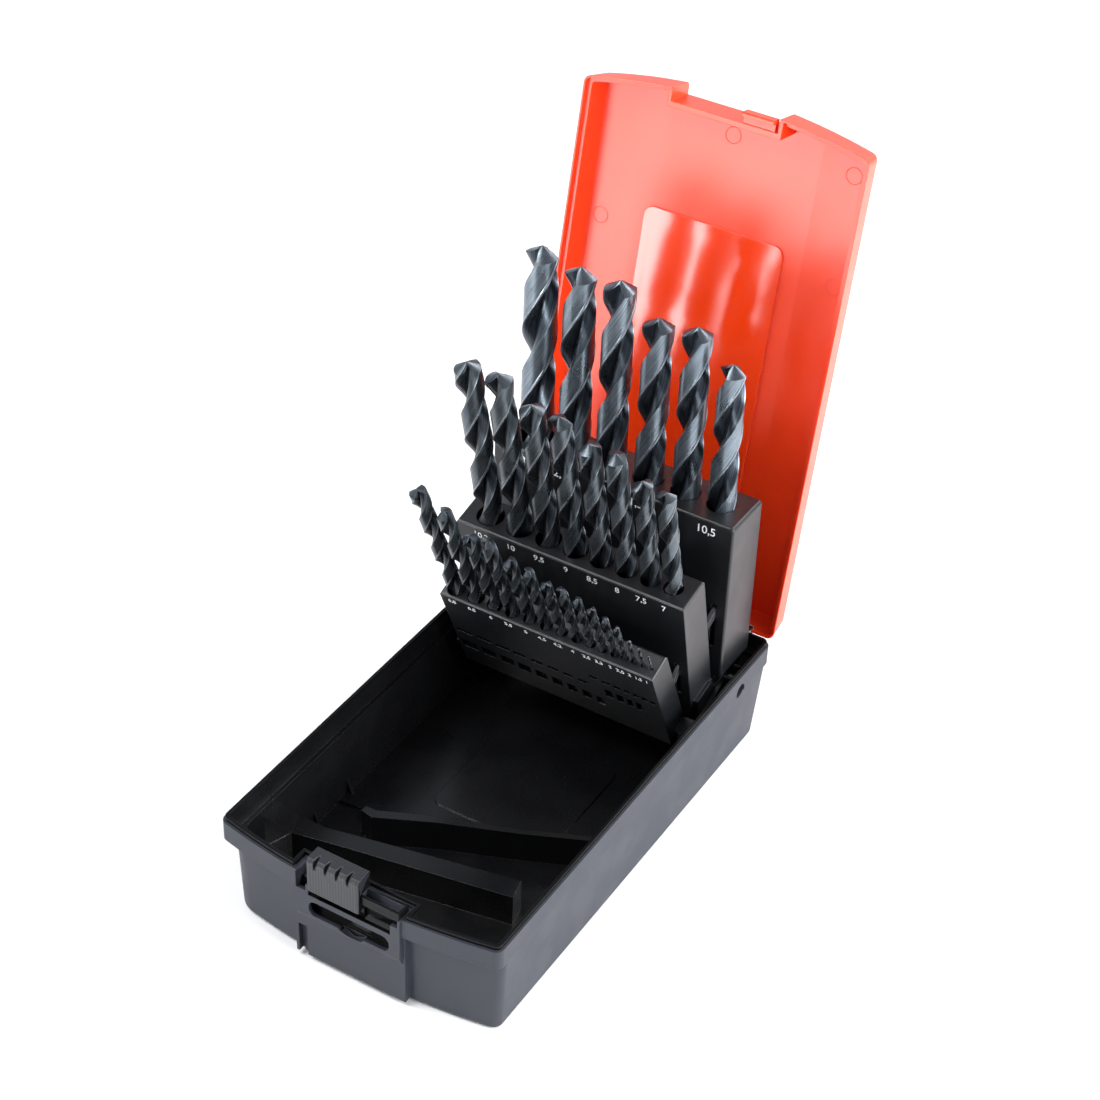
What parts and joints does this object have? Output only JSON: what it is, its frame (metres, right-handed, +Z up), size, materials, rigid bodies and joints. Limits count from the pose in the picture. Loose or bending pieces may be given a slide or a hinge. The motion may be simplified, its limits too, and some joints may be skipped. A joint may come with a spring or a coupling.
{
  "type": "drill bit case",
  "caption": "Hinged plastic case with a sliding latch and three tiered swinging holders that fan out twist drills as the lid opens.",
  "frame": {"origin": "middle of the tray's bottom face, on the surface that the case stands on", "axes": "+X to the right across the case, +Y from the latch towards the hinge, +Z up"},
  "size_m": [0.113, 0.2479, 0.2313],
  "materials": {
    "case_black": "fine textured moulded plastic, black",
    "holder_black": "satin moulded plastic, black",
    "lid_orange": "semi-translucent orange-red moulded plastic",
    "link_dark": "glossy moulded plastic, dark grey",
    "pin_steel": "drawn steel wire",
    "drill_steel": "steam-oxidised high speed steel, dark grey"
  },
  "bodies": {
    "base": {"base_tray": "case_black", "hinge_pin_left": "pin_steel", "hinge_pin_right": "pin_steel", "pivot_pin_left": "case_black", "pivot_pin_right": "case_black"},
    "lid": {"lid": "lid_orange"},
    "latch": {"latch_slider": "case_black"},
    "rear": {"rear_holder": "holder_black", "drill_13_0": "drill_steel", "drill_12_5": "drill_steel", "drill_12_0": "drill_steel", "drill_11_5": "drill_steel", "drill_11_0": "drill_steel", "drill_10_5": "drill_steel"},
    "middle": {"middle_holder": "holder_black", "drill_10_2": "drill_steel", "drill_10_0": "drill_steel", "drill_09_5": "drill_steel", "drill_09_0": "drill_steel", "drill_08_5": "drill_steel", "drill_08_0": "drill_steel", "drill_07_5": "drill_steel", "drill_07_0": "drill_steel"},
    "front": {"front_holder": "holder_black", "drill_06_8": "drill_steel", "drill_06_5": "drill_steel", "drill_06_0": "drill_steel", "drill_05_5": "drill_steel", "drill_05_0": "drill_steel", "drill_04_5": "drill_steel", "drill_04_2": "drill_steel", "drill_04_0": "drill_steel", "drill_03_5": "drill_steel", "drill_03_3": "drill_steel", "drill_03_0": "drill_steel", "drill_02_5": "drill_steel", "drill_02_0": "drill_steel", "drill_01_5": "drill_steel", "drill_01_0": "drill_steel"},
    "rear_middle_links": {"rear_middle_link_left": "link_dark", "rear_middle_link_right": "link_dark"},
    "middle_front_links": {"middle_front_link_left": "link_dark", "middle_front_link_right": "link_dark"},
    "lift_links": {"lift_link_left": "link_dark", "lift_link_right": "link_dark"}
  },
  "joints": [
    {"name": "lid_hinge", "type": "hinge", "parent": "base", "child": "lid", "pos_m": [0, 0.0941, 0.041], "axis": [1, 0, 0], "range_deg": [0, 101.5]},
    {"name": "rear_holder_hinge", "type": "hinge", "parent": "base", "child": "rear", "pos_m": [0, 0.07, 0.0342], "axis": [1, 0, 0], "range_deg": [0, 90]},
    {"name": "middle_holder_hinge", "type": "hinge", "parent": "base", "child": "middle", "pos_m": [0, 0.07, 0.0342], "axis": [1, 0, 0], "range_deg": [0, 77]},
    {"name": "front_holder_hinge", "type": "hinge", "parent": "base", "child": "front", "pos_m": [0, 0.07, 0.0342], "axis": [1, 0, 0], "range_deg": [0, 66.8]},
    {"name": "rear_middle_link_hinge", "type": "hinge", "parent": "rear", "child": "rear_middle_links", "pos_m": [0, 0.067, 0.0702], "axis": [1, 0, 0], "range_deg": [0, 44.45]},
    {"name": "middle_front_link_hinge", "type": "hinge", "parent": "middle", "child": "middle_front_links", "pos_m": [0, 0.04559, 0.05679], "axis": [1, 0, 0], "range_deg": [0, 34.1]},
    {"name": "lift_link_hinge", "type": "hinge", "parent": "lid", "child": "lift_links", "pos_m": [0, 0.10343, 0.04349], "axis": [1, 0, 0], "range_deg": [-104.1, 0]},
    {"name": "latch_slide", "type": "slide", "parent": "base", "child": "latch", "axis": [1, 0, 0], "range_m": [0, 0.012]}
  ],
  "couplings": [
    {"joint": "rear_holder_hinge", "follows": "lid_hinge", "ratio": 0.8867},
    {"joint": "middle_holder_hinge", "follows": "lid_hinge", "ratio": 0.75862},
    {"joint": "front_holder_hinge", "follows": "lid_hinge", "ratio": 0.65813},
    {"joint": "rear_middle_link_hinge", "follows": "lid_hinge", "ratio": 0.43792},
    {"joint": "middle_front_link_hinge", "follows": "lid_hinge", "ratio": 0.33597},
    {"joint": "lift_link_hinge", "follows": "lid_hinge", "ratio": -1.0256}
  ]
}
